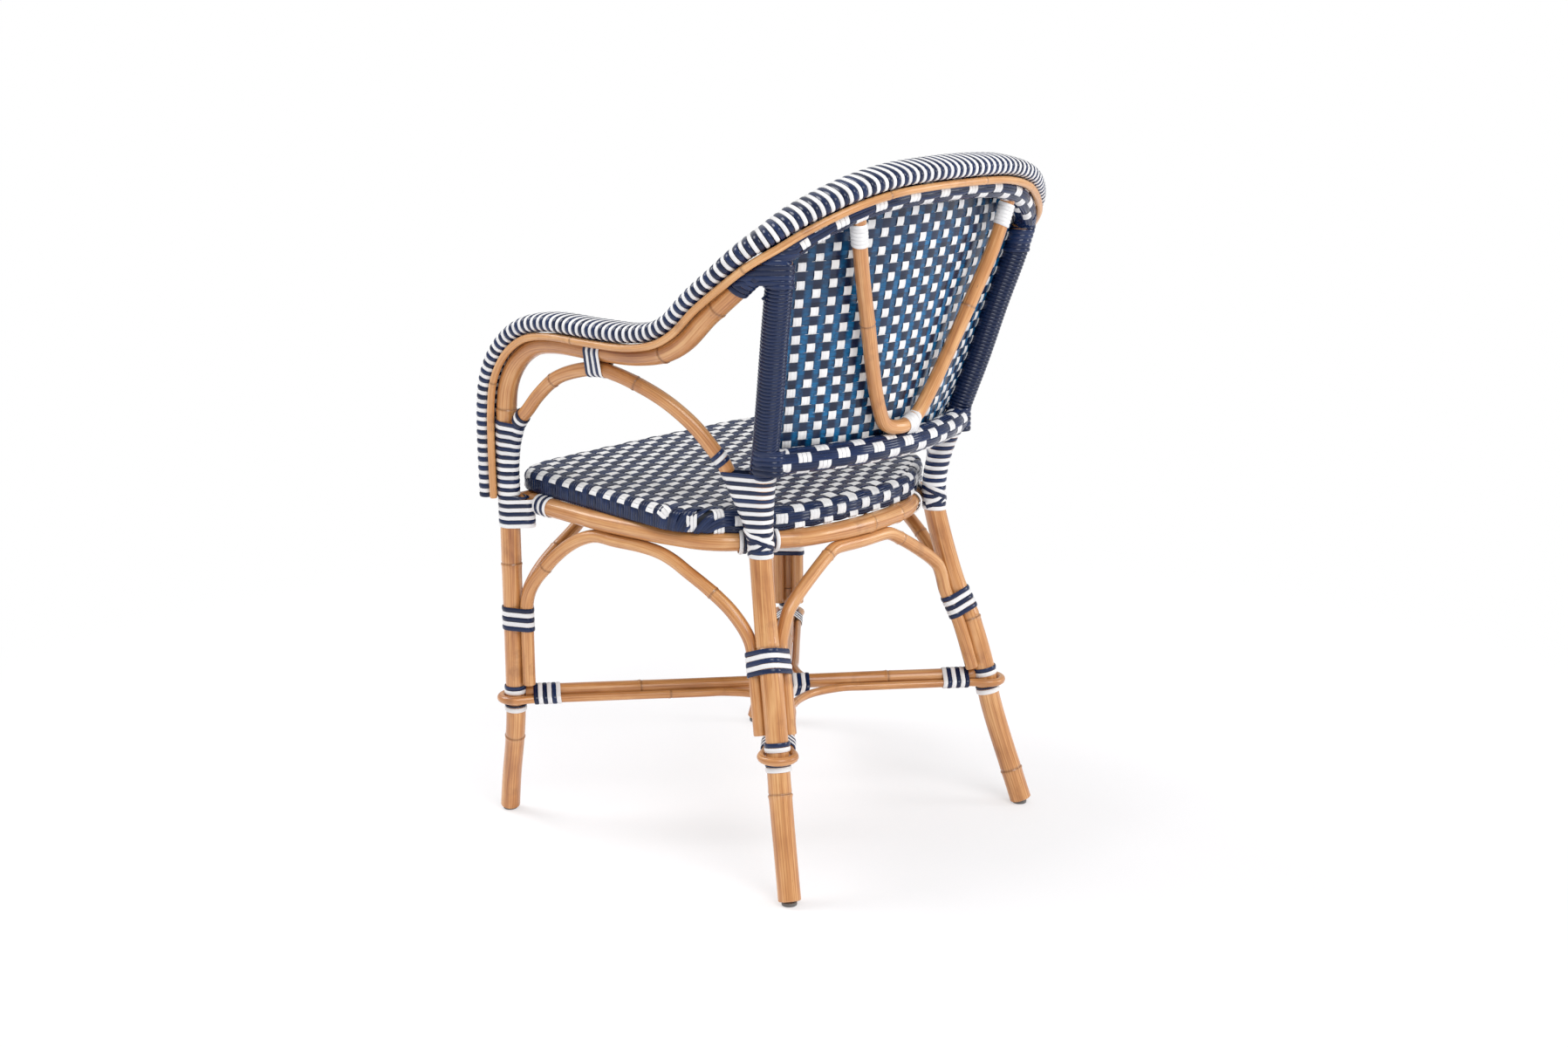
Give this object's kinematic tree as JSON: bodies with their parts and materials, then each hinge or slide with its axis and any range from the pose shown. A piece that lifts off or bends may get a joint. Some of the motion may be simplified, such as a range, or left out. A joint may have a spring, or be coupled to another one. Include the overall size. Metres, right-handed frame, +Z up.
{
  "type": "rattan bistro armchair",
  "caption": "Bistro armchair of bent rattan poles with round arms, a woven plastic seat and back, striped arm band, arched braces and crossed stretchers.",
  "frame": {"origin": "on the floor under the middle of the chair's outline", "axes": "+Z up, -Y the way the chair faces, +X to the sitter's left"},
  "size_m": [0.5854, 0.5838, 0.8891],
  "materials": {
    "rattan": "varnished rattan cane, golden tan with darker growth nodes",
    "pale_rattan": "varnished rattan cane, pale",
    "navy_strip": "glossy flat woven strip, navy with white",
    "white_strip": "glossy flat wound strip, white with navy",
    "glide_plastic": "matt dark plastic glide"
  },
  "bodies": {
    "root": {"front_post_left": "rattan", "back_post_left": "rattan", "front_post_right": "rattan", "back_post_right": "rattan", "back_hoop": "rattan", "seat_rail_hoop": "rattan", "seat_rail_front": "rattan", "seat_cross_bar": "rattan", "arch_brace_left": "rattan", "arm_arch_left": "rattan", "arch_brace_right": "rattan", "arm_arch_right": "rattan", "arch_brace_front": "rattan", "arch_brace_back": "rattan", "leg_collar_front_left": "navy_strip", "glide_front_left": "glide_plastic", "leg_collar_back_left": "navy_strip", "glide_back_left": "glide_plastic", "leg_collar_front_right": "navy_strip", "glide_front_right": "glide_plastic", "leg_collar_back_right": "navy_strip", "glide_back_right": "glide_plastic", "stretcher_long": "rattan", "stretcher_half_back": "rattan", "stretcher_half_front": "rattan", "stretcher_rod_left_front": "rattan", "stretcher_rod_left_back": "rattan", "stretcher_rod_right_back": "rattan", "stretcher_rod_right_front": "rattan", "back_lower_rail": "rattan", "rail_weave": "navy_strip", "hoop_weave": "navy_strip", "back_brace_v": "rattan", "post_wrap_left": "navy_strip", "post_wrap_right": "navy_strip", "arm_cap": "navy_strip", "trim_rod": "pale_rattan", "seat_weave": "navy_strip", "seat_frame": "rattan", "back_panel": "navy_strip", "leg_binding_front_left": "white_strip", "leg_binding_back_left": "white_strip", "arm_tie_left": "white_strip", "joint_binding_front_left": "white_strip", "joint_binding_back_left": "white_strip", "leg_binding_front_right": "white_strip", "leg_binding_back_right": "white_strip", "arm_tie_right": "white_strip", "joint_binding_front_right": "white_strip", "joint_binding_back_right": "white_strip", "rail_tie_left": "white_strip", "rail_tie_right": "white_strip", "stretcher_binding_left_front": "white_strip", "stretcher_binding_left_back": "white_strip", "stretcher_binding_right_back": "white_strip", "stretcher_binding_right_front": "white_strip", "stretcher_binding_middle": "white_strip", "v_tie_left": "white_strip", "v_tie_right": "white_strip", "v_tie_bottom": "white_strip"}
  },
  "joints": []
}
